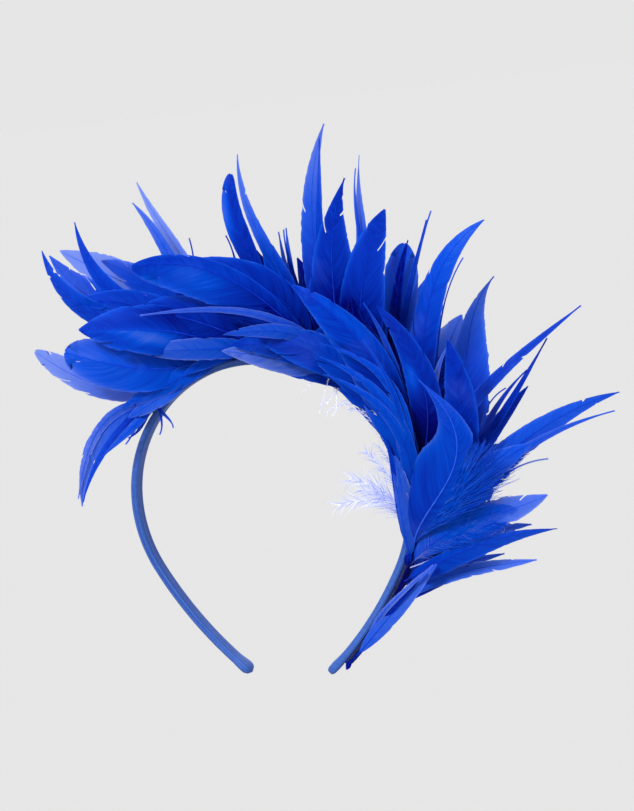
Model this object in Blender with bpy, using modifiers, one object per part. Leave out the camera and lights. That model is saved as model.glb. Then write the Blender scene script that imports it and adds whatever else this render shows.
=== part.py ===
"""Feather fascinator: three rows of feathers on a satin-covered headband.

Metres, +Z up. The band's loop lies in the XZ plane and is symmetrical about X = 0. The origin is on the
underside of its crown, where it sits on the head. The viewer is on the -Y side.
"""
import math
from collections import namedtuple

import bmesh
import bpy
from mathutils import Vector

# the headband: one side, from the crown to the tip, as arcs that follow one another
Arc = namedtuple("Arc", "name radius degrees")
BAND_ARCS = (
    Arc("crown", 0.066, 72),
    Arc("side", 0.0625, 46),
    Arc("arm", 0.174, 21),
)
BAND_TURN = sum(arc.degrees for arc in BAND_ARCS)
BAND_WIDTH = 0.0060
BAND_THICKNESS = 0.0036
BAND_CORNER = 0.0012
BAND_STEP = 6.0
TIP_FLARE = 1.16
TIP_LENGTH = 3.0

# what is glued to the outer face of the band
GAP = 0.0003
FELT_WIDTH = 0.0044
FELT_THICKNESS = 0.0009
SPINE_WIDTH = 0.0014
SPINE_THICKNESS = 0.0014
SPINE_START = -48
SPINE_END = 135
FELT_MARGIN = 0.8

# the feathers
BLADE_THICKNESS = 0.0009
BLADE_STATIONS = 8
QUILL = 0.06
ROOT_WIDTH = 0.0012
TIP_WIDTH = 0.0007
CUP = 0.10

# each row has its own spine: where it runs across the band, and its colour
Row = namedtuple("Row", "name spine_y faces_viewer colour")
ROWS = (
    Row("back_feathers", 0.0025, False, (0.006, 0.03, 0.42)),
    Row("middle_feathers", 0.0, True, (0.008, 0.05, 0.52)),
    Row("front_feathers", -0.0025, True, (0.012, 0.07, 0.62)),
)

# how the width runs along a feather: powers of the distance from the root and of the distance from the tip
Cut = namedtuple("Cut", "from_root from_tip")
CUTS = {
    "leaf": Cut(0.75, 0.85),
    "round": Cut(0.65, 0.50),
    "sabre": Cut(0.45, 0.95),
    "blade": Cut(0.35, 0.85),
    "spoon": Cut(1.10, 0.50),
    "spike": Cut(0.20, 0.85),
    "drop": Cut(0.60, 1.30),
    "lozenge": Cut(1.50, 1.80),
}

# One feather a line. seat: degrees round the band from the crown, + on the right. heading: where the tip
# lies from the root, degrees up from +X. reach and forward: how far it lies, in the plane of the loop and
# toward the viewer. bow_low and bow_high: how far the lower and upper third bend to the left of that line.
# arch: how far the middle swells toward the viewer. turn: degrees that the blade is turned on its midrib.
# lean: how much wider one side of the midrib is than the mean, as a share.
Feather = namedtuple(
    "Feather", "row seat heading reach forward width bow_low bow_high arch turn lean cut")
FEATHERS = [Feather(*line) for line in (
    # left shoulder
    ("middle", -18, 143, 0.092, 0.003, 0.013, -0.005, 0.029, 0.001, 20, 0, "leaf"),
    ("back", -14, 150, 0.099, -0.014, 0.016, -0.003, 0.021, -0.003, -15, -0.3, "leaf"),
    ("back", -8, 151.5, 0.103, -0.020, 0.0225, -0.006, 0.000, -0.003, 10, 0, "leaf"),
    ("middle", -12, 134.5, 0.091, 0.000, 0.011, 0.006, 0.025, 0.001, 0, 0, "blade"),
    ("middle", -2, 162, 0.085, 0.003, 0.014, -0.004, -0.015, 0.001, -14, 0, "leaf"),
    ("middle", -32, 166.3, 0.071, 0.003, 0.014, 0.015, 0.011, 0.001, 12, 0, "round"),
    ("front", 33, 145.8, 0.097, 0.020, 0.0205, -0.019, -0.029, 0.006, 8, -0.5, "round"),
    ("front", -6, 164, 0.066, 0.022, 0.022, -0.013, -0.004, 0.005, -10, 0, "leaf"),
    ("front", 42, 153, 0.092, 0.032, 0.004, -0.034, -0.018, 0.008, 0, 0, "spike"),
    ("front", 36, 147, 0.048, 0.028, 0.007, -0.022, -0.012, 0.006, 15, 0, "leaf"),
    ("front", -16, 170.9, 0.064, 0.016, 0.023, 0.008, 0.004, 0.004, -8, 0, "round"),
    ("front", 14, 173, 0.067, 0.014, 0.010, -0.006, 0.000, 0.004, 6, 0, "leaf"),
    ("front", -45, -130.2, 0.059, 0.010, 0.009, -0.017, -0.013, 0.002, 25, 0, "blade"),
    # over the crown
    ("back", -14, 114, 0.087, -0.012, 0.007, -0.011, 0.001, -0.002, 20, 0, "leaf"),
    ("middle", -18, 111, 0.078, -0.002, 0.006, -0.004, -0.009, 0.000, -25, 0, "leaf"),
    ("middle", 6, 94.9, 0.079, 0.000, 0.012, -0.016, 0.010, 0.001, 24, -0.2, "spoon"),
    ("back", 3, 96, 0.048, -0.010, 0.008, -0.008, -0.002, -0.002, -20, 0, "leaf"),
    ("middle", 22, 102.7, 0.094, 0.002, 0.009, -0.011, 0.012, 0.001, 30, 0, "blade"),
    ("back", 18, 95, 0.055, -0.010, 0.003, -0.009, 0.003, -0.002, 0, 0, "spike"),
    ("back", 24, 100, 0.045, -0.012, 0.011, -0.005, -0.003, -0.002, 15, 0, "leaf"),
    ("middle", 30, 83.6, 0.106, 0.002, 0.0115, 0.001, 0.013, 0.001, -20, 0, "sabre"),
    ("front", 36, 78.1, 0.089, 0.016, 0.023, -0.001, 0.009, 0.004, -12, 0, "drop"),
    ("back", 38, 82.9, 0.096, -0.012, 0.010, -0.014, 0.002, -0.002, 30, 0, "drop"),
    ("front", 46, 72.2, 0.085, 0.018, 0.021, 0.004, 0.008, 0.004, 10, 0, "leaf"),
    ("back", 54, 79, 0.071, -0.014, 0.017, 0.003, 0.000, -0.003, -12, 0, "round"),
    # right shoulder
    ("back", 62, 76, 0.094, -0.012, 0.004, 0.006, 0.006, -0.002, 0, 0, "spike"),
    ("middle", 70, 64, 0.107, 0.002, 0.013, -0.003, 0.026, 0.001, 16, 0, "leaf"),
    ("back", 82, 64.8, 0.092, -0.016, 0.020, -0.022, 0.013, -0.003, -14, -0.2, "drop"),
    ("front", 84, 89.1, 0.083, 0.026, 0.015, -0.018, -0.023, 0.006, 12, -0.1, "leaf"),
    ("front", 98, 70.9, 0.087, 0.020, 0.016, -0.019, -0.018, 0.006, -14, 0, "leaf"),
    ("front", 110, 77.8, 0.085, 0.028, 0.028, -0.002, -0.047, 0.007, 5, -0.15, "lozenge"),
    ("front", 74, 112.3, 0.089, 0.024, 0.018, -0.021, -0.020, 0.008, -6, -0.25, "leaf"),
    ("front", 80, 95, 0.079, 0.018, 0.006, -0.005, -0.013, 0.004, 14, 0, "spike"),
    ("front", 60, 147, 0.075, 0.014, 0.018, -0.025, -0.017, 0.004, 6, 0, "leaf"),
    ("front", 52, 139, 0.057, 0.020, 0.017, -0.020, -0.007, 0.005, -8, 0, "leaf"),
    ("front", 44, 158, 0.061, 0.012, 0.012, -0.007, -0.005, 0.003, 0, 0, "leaf"),
    ("front", 66, 132, 0.069, 0.018, 0.016, -0.010, -0.022, 0.005, 8, 0, "leaf"),
    ("front", 90, 107, 0.076, 0.016, 0.016, -0.010, -0.012, 0.005, -8, 0, "leaf"),
    ("front", 99, 92, 0.061, 0.014, 0.011, 0.000, -0.010, 0.004, 10, 0, "leaf"),
    # right arm
    ("front", 106, 96, 0.049, 0.010, 0.006, -0.002, -0.004, 0.002, -15, 0, "leaf"),
    ("front", 108, 33, 0.050, 0.012, 0.0165, 0.001, 0.000, 0.004, 10, 0, "leaf"),
    ("middle", 92, 46, 0.115, 0.000, 0.006, 0.017, 0.008, 0.001, 20, 0, "sabre"),
    ("back", 100, 48, 0.076, -0.012, 0.008, -0.002, 0.002, -0.002, -20, 0, "leaf"),
    ("middle", 112, 35, 0.120, 0.003, 0.014, 0.007, 0.016, 0.001, -14, 0, "blade"),
    ("front", 116, 26, 0.077, 0.014, 0.015, 0.011, 0.001, 0.004, 8, 0, "leaf"),
    ("middle", 117, 17, 0.059, -0.002, 0.006, 0.000, 0.005, 0.000, 15, 0, "leaf"),
    ("front", 120, 19, 0.080, 0.012, 0.009, 0.005, 0.008, 0.003, -20, 0.3, "sabre"),
    ("back", 121, 14, 0.047, -0.008, 0.004, 0.001, 0.001, -0.002, 0, 0, "leaf"),
    ("middle", 125, 17.8, 0.074, 0.003, 0.006, 0.010, 0.005, 0.001, 15, 0, "leaf"),
    ("front", 134, 44.7, 0.064, 0.007, 0.008, 0.000, 0.001, 0.003, 12, 0, "leaf"),
    # behind, leaning away
    ("back", -40, 168, 0.052, -0.022, 0.018, 0.004, 0.004, -0.004, 14, 0, "leaf"),
    ("back", -28, 150, 0.055, -0.030, 0.020, 0.002, 0.004, -0.004, -12, 0, "leaf"),
    ("back", -16, 136, 0.048, -0.034, 0.020, 0.000, 0.005, -0.004, 10, 0, "round"),
    ("back", -2, 122, 0.044, -0.038, 0.020, 0.000, 0.004, -0.004, -16, 0, "leaf"),
    ("back", 12, 110, 0.042, -0.034, 0.019, 0.000, 0.004, -0.004, 14, 0, "leaf"),
    ("back", 28, 98, 0.044, -0.038, 0.020, 0.000, -0.003, -0.004, -10, 0, "round"),
    ("back", 42, 88, 0.052, -0.032, 0.020, 0.000, -0.003, -0.004, 16, 0, "leaf"),
    ("back", 58, 78, 0.056, -0.036, 0.020, 0.000, -0.004, -0.004, -12, 0, "leaf"),
    ("back", 74, 70, 0.060, -0.030, 0.020, 0.000, 0.004, -0.004, 14, 0, "leaf"),
    ("back", 92, 56, 0.045, -0.034, 0.019, 0.000, 0.004, -0.004, -16, 0, "leaf"),
    ("back", 108, 46, 0.052, -0.026, 0.018, 0.002, 0.004, -0.004, 12, 0, "leaf"),
    ("back", 122, 36, 0.046, -0.018, 0.014, 0.003, 0.003, -0.003, -10, 0, "leaf"),
    # strands and a filling feather
    ("middle", 96, 49.3, 0.098, -0.002, 0.004, -0.006, -0.004, 0.001, 10, 0, "sabre"),
    ("middle", 113, 32.9, 0.115, 0.005, 0.0045, 0.011, 0.015, 0.001, -10, 0, "sabre"),
    ("front", 8, 158, 0.062, 0.012, 0.021, -0.006, -0.008, 0.004, 6, 0, "leaf"),
)]


def band_point(turn, height=0.0, across=0.0):
    """A point that lies `height` outside the band's centreline, `turn` degrees round from the crown."""
    side = -1 if turn < 0 else 1
    left, angle = abs(turn), 0.0
    x, z = 0.0, BAND_THICKNESS / 2
    for arc in BAND_ARCS:
        end = angle + math.radians(min(left, arc.degrees))
        x += arc.radius * (math.sin(end) - math.sin(angle))
        z += arc.radius * (math.cos(end) - math.cos(angle))
        left -= min(left, arc.degrees)
        angle = end
    return Vector((side * (x + height * math.sin(angle)), across, z + height * math.cos(angle)))


def even_turns(start, end):
    """Turns from start to end, about BAND_STEP apart."""
    steps = max(1, round((end - start) / BAND_STEP))
    return [start + (end - start) * i / steps for i in range(steps + 1)]


def collection(name, cutters=False):
    """A collection in the scene for parts, or for the shapes that only help to make them."""
    made = bpy.data.collections.new(name)
    bpy.context.scene.collection.children.link(made)
    made.hide_render = cutters
    return made


def material(name, colour, roughness):
    """A plain Principled material."""
    made = bpy.data.materials.new(name)
    made.use_nodes = True
    shader = made.node_tree.nodes["Principled BSDF"]
    shader.inputs["Base Color"].default_value = (*colour, 1.0)
    shader.inputs["Roughness"].default_value = roughness
    shader.inputs["Metallic"].default_value = 0.0
    return made


def helper(obj, guides):
    """Puts a shape that only helps to make a part among the guides."""
    guides.objects.link(obj)
    obj.hide_render = True
    obj.display_type = 'WIRE'
    return obj


def ribbon(name, across, along, place, thickness):
    """A flat grid bent into shape: `place` gives each point from its s across (-1 to 1) and t along (0 to 1)."""
    mesh = bpy.data.meshes.new(name)
    bm = bmesh.new()
    bmesh.ops.create_grid(bm, x_segments=across, y_segments=along, size=1.0)
    for vertex in bm.verts:
        vertex.co = place(vertex.co.x, (vertex.co.y + 1) / 2)
    bm.to_mesh(mesh)
    bm.free()
    made = bpy.data.objects.new(name, mesh)
    solidify = made.modifiers.new("thickness", 'SOLIDIFY')
    solidify.thickness = thickness
    solidify.offset = 0.0
    solidify.use_even_offset = False
    return made


def along_band(height, half_width, start, end, across=0.0):
    """The placing function of a strip that follows the band's outer face."""
    def place(s, t):
        return band_point(start + (end - start) * t, height, across + s * half_width)
    return place


def headband(parts, guides):
    """The wrapped band: a rounded section drawn along the loop, a little fuller at its two ends."""
    half_w, half_t = BAND_WIDTH / 2, BAND_THICKNESS / 2
    section = bpy.data.curves.new("band_section", 'CURVE')
    outline = section.splines.new('POLY')
    corners = [(side_x * (half_w - dx), side_y * (half_t - dy))
               for side_x, side_y, order in ((1, -1, 1), (-1, -1, -1), (-1, 1, 1), (1, 1, -1))
               for dx, dy in ((0, BAND_CORNER), (BAND_CORNER, 0))[::order]]
    outline.points.add(len(corners) - 1)
    for point, (x, y) in zip(outline.points, corners):
        point.co = (x, y, 0, 1)
    outline.use_cyclic_u = True
    section_object = helper(bpy.data.objects.new("band_section", section), guides)

    path = bpy.data.curves.new("headband", 'CURVE')
    path.dimensions = '3D'
    path.twist_mode = 'MINIMUM'
    path.bevel_mode = 'OBJECT'
    path.bevel_object = section_object
    path.use_fill_caps = True
    spline = path.splines.new('POLY')
    inner = even_turns(-(BAND_TURN - TIP_LENGTH), BAND_TURN - TIP_LENGTH)
    ends = ((TIP_LENGTH * 0.55, TIP_FLARE), (TIP_LENGTH * 0.15, TIP_FLARE * 0.96), (0.0, TIP_FLARE * 0.72))
    turns = ([(-(BAND_TURN - back), size) for back, size in reversed(ends)]
             + [(turn, 1.0) for turn in inner]
             + [(BAND_TURN - back, size) for back, size in ends])
    spline.points.add(len(turns) - 1)
    for point, (turn, size) in zip(spline.points, turns):
        point.co = (*band_point(turn), 1)
        point.radius = size
    band = bpy.data.objects.new("headband", path)
    band.data.materials.append(material("blue satin", (0.10, 0.20, 0.55), 0.45))
    parts.objects.link(band)


def felt_backing(parts):
    """The dark strip that the feathers are glued to."""
    height = BAND_THICKNESS / 2 + GAP + FELT_THICKNESS / 2
    start, end = SPINE_START - FELT_MARGIN, SPINE_END + FELT_MARGIN
    place = along_band(height, FELT_WIDTH / 2, start, end)
    felt = ribbon("felt_backing", 1, len(even_turns(start, end)) - 1, place, FELT_THICKNESS)
    felt.data.materials.append(material("dark felt", (0.004, 0.005, 0.02), 0.9))
    parts.objects.link(felt)


def spine_height():
    """How far the middle of a spine lies outside the band's centreline."""
    return BAND_THICKNESS / 2 + GAP + FELT_THICKNESS + GAP + SPINE_THICKNESS / 2


def midrib(feather, root, t):
    """A point of the feather's midrib, t from 0 at the root to 1 at the tip."""
    angle = math.radians(feather.heading)
    chord = Vector((feather.reach * math.cos(angle), -feather.forward, feather.reach * math.sin(angle)))
    left = Vector((-math.sin(angle), 0.0, math.cos(angle)))
    low, high = 3 * t * (1 - t) ** 2, 3 * t ** 2 * (1 - t)
    straight = chord * (low / 3 + high * 2 / 3 + t ** 3)
    bowed = left * (low * feather.bow_low + high * feather.bow_high)
    swelled = Vector((0.0, -4 * feather.arch * t * (1 - t), 0.0))
    return root + straight + bowed + swelled


def half_width(feather, t, side):
    """The feather's width on one side of its midrib, t of the way from root to tip. The quill is bare."""
    cut = CUTS[feather.cut]
    peak = cut.from_root / (cut.from_root + cut.from_tip)
    highest = peak ** cut.from_root * (1 - peak) ** cut.from_tip
    vane = max(0.0, (t - QUILL) / (1 - QUILL))
    full = feather.width / 2 * vane ** cut.from_root * (1 - vane) ** cut.from_tip / highest
    full *= 1 + side * feather.lean
    return max(full, (ROOT_WIDTH * (1 - t) + TIP_WIDTH * t) / 2)


def blade(name, feather, row):
    """One feather: a blade that follows its midrib, cupped across, its face toward the viewer or away."""
    root = band_point(feather.seat, spine_height(), row.spine_y)
    facing = Vector((0.0, -1.0 if row.faces_viewer else 1.0, 0.0))
    step = 0.01

    def place(s, t):
        tangent = (midrib(feather, root, t + step) - midrib(feather, root, t - step)).normalized()
        across = tangent.cross(facing).normalized()
        face = across.cross(tangent)
        swing = math.radians(feather.turn * t)
        across, face = (across * math.cos(swing) + face * math.sin(swing),
                        face * math.cos(swing) - across * math.sin(swing))
        reach = s * half_width(feather, t, 1 if s > 0 else -1)
        return midrib(feather, root, t) + across * reach - face * CUP * abs(reach)

    return ribbon(name, 2, BLADE_STATIONS, place, BLADE_THICKNESS)


def feather_row(row, parts):
    """A row of feathers, each fused to the spine that it is glued along."""
    blades = collection(row.name + "_blades", cutters=True)
    for number, feather in enumerate(f for f in FEATHERS if row.name.startswith(f.row)):
        helper(blade("%s_%02d" % (row.name, number), feather, row), blades)
    place = along_band(spine_height(), SPINE_WIDTH / 2, SPINE_START, SPINE_END, row.spine_y)
    along = len(even_turns(SPINE_START, SPINE_END)) - 1
    spine = ribbon(row.name, 1, along, place, SPINE_THICKNESS)
    fuse = spine.modifiers.new("fuse", 'BOOLEAN')
    fuse.operation = 'UNION'
    fuse.operand_type = 'COLLECTION'
    fuse.collection = blades
    fuse.solver = 'EXACT'
    spine.data.materials.append(material(row.name, row.colour, 0.5))
    parts.objects.link(spine)


def main():
    """Clears the scene and builds the fascinator."""
    for obj in list(bpy.data.objects):
        bpy.data.objects.remove(obj)
    parts = collection("fascinator")
    guides = collection("guides", cutters=True)
    headband(parts, guides)
    felt_backing(parts)
    for row in ROWS:
        feather_row(row, parts)


main()
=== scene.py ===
import math
import random
from collections import namedtuple

import bpy
from mathutils import Matrix, Vector, noise


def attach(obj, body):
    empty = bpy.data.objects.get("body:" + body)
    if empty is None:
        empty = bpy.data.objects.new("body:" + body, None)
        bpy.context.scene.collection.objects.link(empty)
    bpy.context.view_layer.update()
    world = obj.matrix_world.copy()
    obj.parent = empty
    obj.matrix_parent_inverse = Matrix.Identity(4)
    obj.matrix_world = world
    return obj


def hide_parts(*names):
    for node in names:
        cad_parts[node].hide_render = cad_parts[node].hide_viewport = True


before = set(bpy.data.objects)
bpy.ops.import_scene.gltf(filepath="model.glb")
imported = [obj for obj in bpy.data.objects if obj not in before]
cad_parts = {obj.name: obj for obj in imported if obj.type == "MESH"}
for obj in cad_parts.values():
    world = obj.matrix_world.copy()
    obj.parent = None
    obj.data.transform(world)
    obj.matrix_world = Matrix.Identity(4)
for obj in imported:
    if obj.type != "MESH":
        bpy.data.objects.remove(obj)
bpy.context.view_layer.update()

mm = 0.001


# colours, nodes and meshes

def hexColour(code):
    values = [int(code[i:i + 2], 16) / 255 for i in (1, 3, 5)]
    linear = [v / 12.92 if v <= 0.04045 else ((v + 0.055) / 1.055) ** 2.4 for v in values]
    return (*linear, 1.0)


def addNode(tree, kind, settings=None, links=None):
    # settings: its properties and input values; links: what feeds its inputs, a node gives its first output
    node = tree.nodes.new(kind)
    for name, value in (settings or {}).items():
        if isinstance(name, str) and hasattr(node, name):
            setattr(node, name, value)
        else:
            node.inputs[name].default_value = value
    for name, source in (links or {}).items():
        if isinstance(source, bpy.types.Node):
            source = source.outputs[0]
        tree.links.new(source, node.inputs[name])
    return node


def newMaterial(name, addShader):
    # addShader fills the material's tree with nodes and returns the one that shows
    material = bpy.data.materials.new(name)
    material.use_nodes = True
    tree = material.node_tree
    tree.nodes.clear()
    addNode(tree, "ShaderNodeOutputMaterial", links={"Surface": addShader(tree)})
    return material


def rampStops(node, stops):
    ramp = node.color_ramp
    while len(ramp.elements) > 1:
        ramp.elements.remove(ramp.elements[-1])
    for number, (place, colour) in enumerate(stops):
        element = ramp.elements[0] if number == 0 else ramp.elements.new(place)
        element.position = place
        element.color = hexColour(colour)
    return node


def solidNoise(tree, scale, detail, roughness):
    # noise in space, the same from all sides
    place = addNode(tree, "ShaderNodeTexCoord")
    grain = {"Scale": scale, "Detail": detail, "Roughness": roughness}
    return addNode(tree, "ShaderNodeTexNoise", grain, {"Vector": place.outputs["Object"]})


def streakNoise(tree, along, across, detail, roughness):
    # noise on the map, in streaks along the piece
    place = addNode(tree, "ShaderNodeUVMap", {"uv_map": "featherMap"})
    spread = addNode(tree, "ShaderNodeMapping", {"Scale": (along, across, 1.0)}, {"Vector": place})
    grain = {"noise_dimensions": '2D', "Scale": 1.0, "Detail": detail, "Roughness": roughness}
    return addNode(tree, "ShaderNodeTexNoise", grain, {"Vector": spread})


def newSoup():
    # what a mesh is collected in: each point has a map place and two shades
    return {"points": [], "map": [], "tone": [], "thin": [], "faces": [], "slots": []}


def addPoint(soup, point, mapPlace, tone, thin=0.0):
    soup["points"].append(point)
    soup["map"].append(mapPlace)
    soup["tone"].append(tone)
    soup["thin"].append(thin)
    return len(soup["points"]) - 1


def addFace(soup, corners, slot=0):
    soup["faces"].append(corners)
    soup["slots"].append(slot)


def addTube(soup, sections, slot=0):
    # a tube with closed ends: each section is its ring of points, its place along the map and its tone
    rings = []
    for points, along, tone in sections:
        rings.append([addPoint(soup, point, (along, k / len(points)), tone)
                      for k, point in enumerate(points)])
    for a, b in zip(rings, rings[1:]):
        for k in range(len(a)):
            n = (k + 1) % len(a)
            addFace(soup, (a[k], b[k], b[n], a[n]), slot)
    addFace(soup, tuple(rings[0]), slot)
    addFace(soup, tuple(rings[-1][::-1]), slot)


def addRibbon(soup, stations, strand, tone, thin, slot):
    # a flat strip: each station is a point and the way from it to the strip's edge
    last = None
    for i, (point, across) in enumerate(stations):
        place = (strand, 0.3 + 0.7 * i / (len(stations) - 1))
        pair = [addPoint(soup, point + across * s, place, tone, thin) for s in (-1, 1)]
        if last:
            addFace(soup, (last[0], last[1], pair[1], pair[0]), slot)
        last = pair


def soupObject(name, soup, materials):
    mesh = bpy.data.meshes.new(name)
    mesh.from_pydata([tuple(p) for p in soup["points"]], [], soup["faces"])
    featherMap = mesh.uv_layers.new(name="featherMap")
    corners = [0] * len(mesh.loops)
    mesh.loops.foreach_get("vertex_index", corners)
    featherMap.data.foreach_set("uv", [v for c in corners for v in soup["map"][c]])
    for shade in ("tone", "thin"):
        layer = mesh.attributes.new(name=shade, type='FLOAT', domain='POINT')
        layer.data.foreach_set("value", soup[shade])
    for material in materials:
        mesh.materials.append(material)
    mesh.polygons.foreach_set("material_index", soup["slots"])
    mesh.polygons.foreach_set("use_smooth", [True] * len(mesh.polygons))
    mesh.update()
    made = bpy.data.objects.new(name, mesh)
    bpy.context.scene.collection.objects.link(made)
    return made


def circleAngles(sides):
    return [2 * math.pi * k / sides for k in range(sides)]


def smoothStep(low, high, value):
    x = min(1.0, max(0.0, (value - low) / (high - low)))
    return x * x * (3 - 2 * x)


# camera, lamps and floor

stage = {
    "azimuth": 22.0,      # degrees, the camera stands a little to the right of the loop's front
    "elevation": 10.3,
    "roll": 6.7,
    "distance": 0.900,
    "lens": 90.8,
    "farthest": 100.0,
    "aim": (0.02543, 0.00580, -0.02103),
    "backdrop": "#E6E6E6",
    "floor": "#ABABAB",   # lit to the shade of the backdrop
    "floorHeight": -0.80,
    "floorRadius": 30.0,
    "floorSides": 72,
}

# name, azimuth, elevation, strength, spread in degrees
lampTable = (
    ("keyLamp", -18.0, 42.0, 4.0, 12.0),
    ("fillLamp", 70.0, 20.0, 0.8, 60.0),
    ("backLamp", 190.0, 35.0, 1.2, 60.0),
)


def towards(azimuth, elevation):
    a, e = math.radians(azimuth), math.radians(elevation)
    return Vector((math.sin(a) * math.cos(e), -math.cos(a) * math.cos(e), math.sin(e)))


def makeCamera():
    camera = bpy.data.objects.new("productCamera", bpy.data.cameras.new("productCamera"))
    camera.data.lens = stage["lens"]
    camera.data.clip_end = stage["farthest"]
    away = towards(stage["azimuth"], stage["elevation"])
    turned = away.to_track_quat('Z', 'Y').to_matrix()
    rolled = turned @ Matrix.Rotation(-math.radians(stage["roll"]), 3, 'Z')
    stand = Vector(stage["aim"]) + away * stage["distance"]
    camera.matrix_world = Matrix.Translation(stand) @ rolled.to_4x4()
    bpy.context.scene.collection.objects.link(camera)
    bpy.context.scene.camera = camera


def makeLight():
    world = bpy.data.worlds.new("paleStudio")
    world.use_nodes = True
    world.node_tree.nodes["Background"].inputs["Color"].default_value = hexColour(stage["backdrop"])
    bpy.context.scene.world = world
    for name, azimuth, elevation, strength, spread in lampTable:
        lamp = bpy.data.lights.new(name, 'SUN')
        lamp.energy = strength
        lamp.angle = math.radians(spread)
        made = bpy.data.objects.new(name, lamp)
        made.rotation_mode = 'QUATERNION'
        made.rotation_quaternion = towards(azimuth, elevation).to_track_quat('Z', 'Y')
        bpy.context.scene.collection.objects.link(made)


def vinylShader(tree):
    # matt vinyl sheet: one even pale grey, without a gleam
    look = {"Base Color": hexColour(stage["floor"]), "Roughness": 0.9, "Specular IOR Level": 0.0}
    return addNode(tree, "ShaderNodeBsdfPrincipled", look)


def makeFloor():
    rim = [(stage["floorRadius"] * math.cos(a), stage["floorRadius"] * math.sin(a), stage["floorHeight"])
           for a in circleAngles(stage["floorSides"])]
    mesh = bpy.data.meshes.new("studioFloor")
    mesh.from_pydata(rim, [], [tuple(range(len(rim)))])
    mesh.materials.append(newMaterial("matt vinyl", vinylShader))
    floor = bpy.data.objects.new("studioFloor", mesh)
    bpy.context.scene.collection.objects.link(floor)


bpy.context.scene.view_settings.view_transform = 'Standard'
makeCamera()
makeLight()
makeFloor()
print("stage: camera, three lamps and floor")


# the loop that everything sits on: one side of it, from the crown to the tip

Arc = namedtuple("Arc", "name radius degrees")
bandArcs = (Arc("crown", 0.0660, 72), Arc("side", 0.0625, 46), Arc("arm", 0.1740, 21))
bandTurn = sum(arc.degrees for arc in bandArcs)

band = {
    "width": 0.0060,
    "thickness": 0.0036,
    "corner": 0.0012,
    "cornerSteps": 5,
    "step": 0.8,             # degrees between sections
    "tipLength": 3.0,        # degrees
    "tipSteps": 10,
    "tipFlare": 1.16,
    "roundingStart": 0.55,   # share of the tip's length before its end rounds off
    "roundingPower": 2.4,
    "endSize": 0.12,         # of the last section
    "pucker": 0.010,         # how uneven the wrapping is
    "seamHeight": 0.00022,
    "seamStart": -0.0006,    # the satin's lap rises between these places across the inner face
    "seamEnd": 0.0001,
}


def bandPoint(turn, height=0.0, across=0.0):
    # a point that lies height outside the centreline, turn degrees round from the crown
    side = -1 if turn < 0 else 1
    left, angle = abs(turn), 0.0
    x, z = 0.0, band["thickness"] / 2
    for arc in bandArcs:
        end = angle + math.radians(min(left, arc.degrees))
        x += arc.radius * (math.sin(end) - math.sin(angle))
        z += arc.radius * (math.cos(end) - math.cos(angle))
        left -= min(left, arc.degrees)
        angle = end
    return Vector((side * (x + height * math.sin(angle)), across, z + height * math.cos(angle)))


def tapeSection():
    # the wrapped section: a bar with rounded corners
    halfWidth, halfThick, corner = band["width"] / 2, band["thickness"] / 2, band["corner"]
    outline = []
    for centreX, centreY, first in ((1, 1, 0), (-1, 1, 90), (-1, -1, 180), (1, -1, 270)):
        for step in range(band["cornerSteps"] + 1):
            a = math.radians(first + 90 / band["cornerSteps"] * step)
            outline.append((centreX * (halfWidth - corner) + corner * math.cos(a),
                            centreY * (halfThick - corner) + corner * math.sin(a)))
    return outline


def bandStations():
    # turn and size of each section, from tip to tip; the tips flare and then round off
    inner = bandTurn - band["tipLength"]
    steps = round(2 * inner / band["step"])
    tip = []
    for i in range(band["tipSteps"]):
        x = (i + 1) / band["tipSteps"]
        flare = 1 + (band["tipFlare"] - 1) * math.sin(math.pi * min(1.0, x * 1.15) * 0.62)
        rounding = max(0.0, (x - band["roundingStart"]) / (1 - band["roundingStart"]))
        closing = math.sqrt(max(0.0, 1 - rounding ** band["roundingPower"]))
        tip.append((inner + band["tipLength"] * x, flare * max(band["endSize"], closing)))
    between = [(-inner + 2 * inner * i / steps, 1.0) for i in range(steps + 1)]
    return [(-turn, size) for turn, size in reversed(tip)] + between + tip


def makeBand(satin):
    outline = tapeSection()
    sections = []
    along = 0.0
    last = None
    for turn, size in bandStations():
        middle = bandPoint(turn)
        along += (middle - last).length if last else 0.0
        last = middle
        points = []
        for k, (y, h) in enumerate(outline):
            swell = 1 + band["pucker"] * noise.noise(Vector((along * 210, k * 0.9, 4.0)))
            onInside = h < -band["thickness"] * 0.42
            lapped = smoothStep(band["seamStart"], band["seamEnd"], y) if onInside else 0.0
            points.append(bandPoint(turn, (h * swell - band["seamHeight"] * lapped) * size, y * swell * size))
        sections.append((points, along / mm, 1.0))
    soup = newSoup()
    addTube(soup, sections[::-1])
    return soupObject("satinBand", soup, [satin])


weave = {
    "satinThread": 0.35,   # mm between the ridges that show; real threads lie 0.1 mm apart, too fine here
    "satinTurns": 34.0,    # ridges round the band
    "satinSlant": 38,      # degrees
    "barbPitch": 0.42,     # mm between barbs along the shaft
}


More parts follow.
